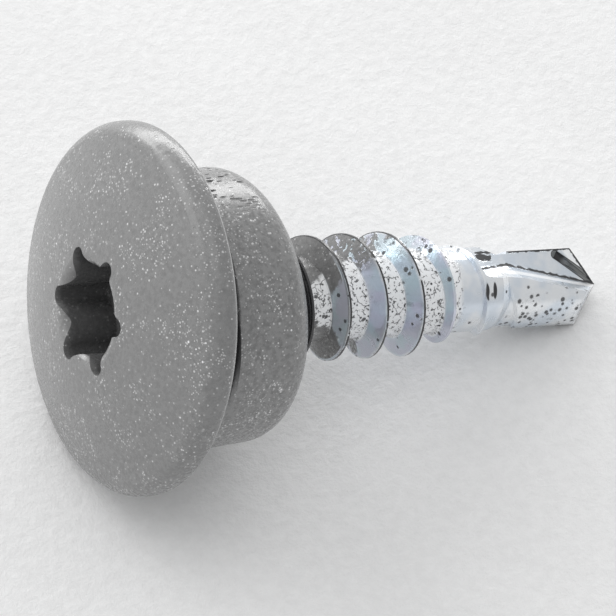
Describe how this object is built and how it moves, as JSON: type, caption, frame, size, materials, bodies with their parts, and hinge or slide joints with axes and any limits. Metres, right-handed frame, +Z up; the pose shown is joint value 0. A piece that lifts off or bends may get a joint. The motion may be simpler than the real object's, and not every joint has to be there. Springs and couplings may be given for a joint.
{
  "type": "self drilling screw",
  "caption": "Lens-head self drilling screw with a six-lobe drive, a coarse thread, a fluted drill point and a thick captive sealing washer under the head.",
  "frame": {"origin": "middle of the lying screw's footprint on the surface that it rests on", "axes": "+X from the head to the drill point, +Z up, with the screw lying on the rim of its head and both edges of one flute of its drill point"},
  "size_m": [0.026, 0.016, 0.0154],
  "materials": {
    "screw": "zinc-plated steel; the head and the first threads are powder coated a satin mid grey, and the coat thins out to bare bright zinc towards the drill point",
    "sealing_washer": "moulded rubber under the same satin mid-grey coat as the head, finely speckled"
  },
  "bodies": {
    "screw": {"screw": "screw"},
    "washer": {"sealing_washer": "sealing_washer"}
  },
  "joints": [
    {"name": "washer_turn", "type": "hinge", "parent": "screw", "child": "washer", "pos_m": [-0.00639, 0, 0.00661], "axis": [0.9565, 0, -0.2917], "continuous": true}
  ]
}
